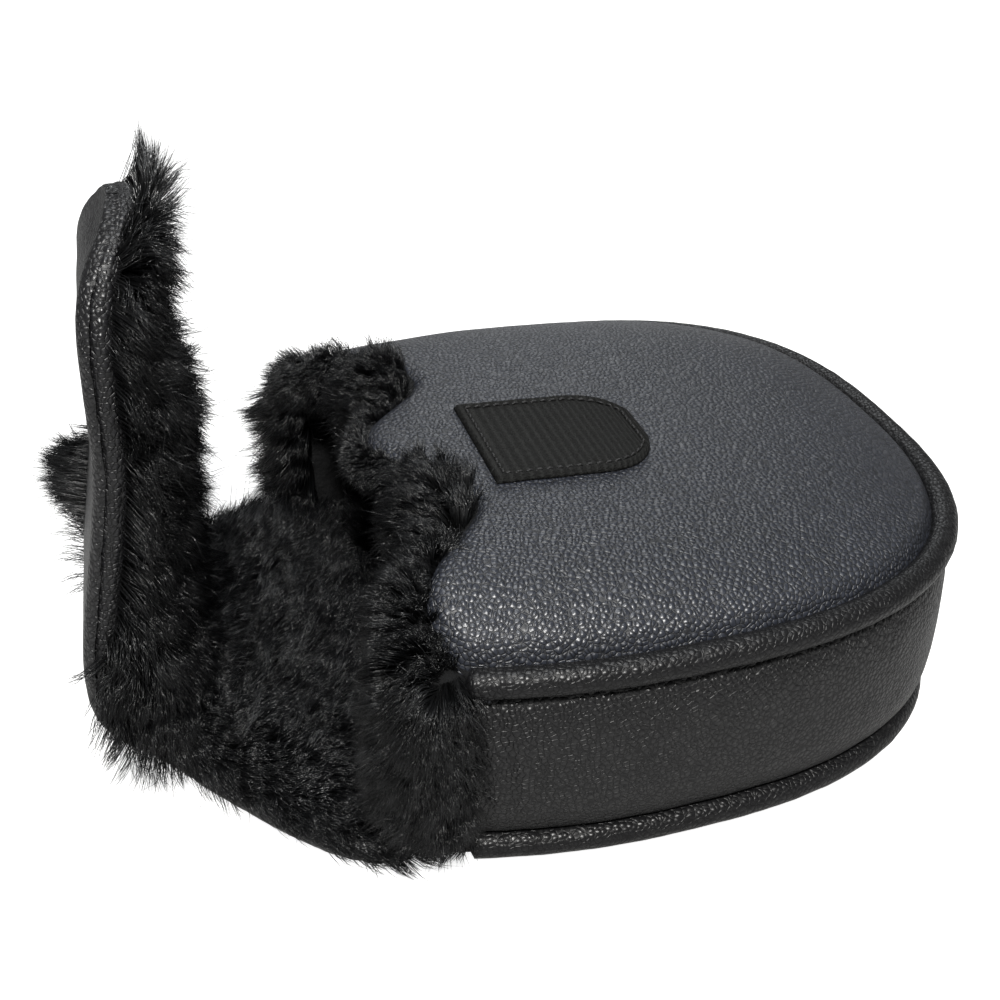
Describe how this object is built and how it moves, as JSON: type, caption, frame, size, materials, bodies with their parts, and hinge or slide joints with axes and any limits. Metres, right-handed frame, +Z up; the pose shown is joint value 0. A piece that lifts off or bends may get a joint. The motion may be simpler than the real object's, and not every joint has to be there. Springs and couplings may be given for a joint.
{
  "type": "mallet putter head cover",
  "caption": "Low round padded leather pouch with a fur lining, piped seams, an open mouth and a folding fur-lined flap that closes onto a loop patch.",
  "frame": {"origin": "on the resting face of the bottom panel, below the middle of the pouch's widest line", "axes": "+X from the mouth to the round back, +Y along the mouth, +Z up"},
  "size_m": [0.1651, 0.1274, 0.1052],
  "materials": {
    "leather": "soft satin, pebbled grain",
    "piping_leather": "soft satin, stretched pebbled grain",
    "foam": "matte open foam",
    "fur": "long clumped pile",
    "piping_cord": "matte braided",
    "thread": "waxed",
    "loop_webbing": "fuzzy woven loops",
    "hook_webbing": "woven, small stiff hooks"
  },
  "bodies": {
    "pouch": {"bottom_panel": "leather", "bottom_foam": "foam", "bottom_lining": "fur", "bottom_piping_cover": "piping_leather", "bottom_piping_cord": "piping_cord", "bottom_seam_thread": "thread", "side_panel": "leather", "side_foam": "foam", "side_lining": "fur", "top_piping_cover": "piping_leather", "top_piping_cord": "piping_cord", "top_seam_thread": "thread", "top_panel": "leather", "top_foam": "foam", "top_lining": "fur", "loop_patch": "loop_webbing", "loop_stitching": "thread", "tongue_fur_edge": "fur", "near_notch_fur": "fur", "far_notch_fur": "fur", "near_corner_fur": "fur", "far_corner_fur": "fur", "near_side_fur": "fur", "far_side_fur": "fur"},
    "flap_base": {"flap_base_leather": "leather", "flap_base_foam": "foam", "flap_base_lining": "fur", "flap_base_edge": "piping_leather"},
    "flap_middle": {"flap_middle_leather": "leather", "flap_middle_foam": "foam", "flap_middle_lining": "fur", "flap_middle_edge": "piping_leather"},
    "flap_tip": {"flap_tip_leather": "leather", "flap_tip_foam": "foam", "flap_tip_lining": "fur", "flap_tip_edge": "piping_leather", "hook_patch": "hook_webbing", "hook_stitching": "thread"}
  },
  "joints": [
    {"name": "mouth_fold", "type": "hinge", "parent": "pouch", "child": "flap_base", "pos_m": [-0.046, 0, 0.0006], "axis": [0, 1, 0], "range_deg": [0, 51]},
    {"name": "turn_fold", "type": "hinge", "parent": "flap_base", "child": "flap_middle", "pos_m": [-0.08727, 0, 0.00584], "axis": [0, 1, 0], "range_deg": [-85, 0]},
    {"name": "upper_fold", "type": "hinge", "parent": "flap_middle", "child": "flap_tip", "pos_m": [-0.08966, 0, 0.04547], "axis": [0, 1, 0], "range_deg": [-10, 31]}
  ]
}
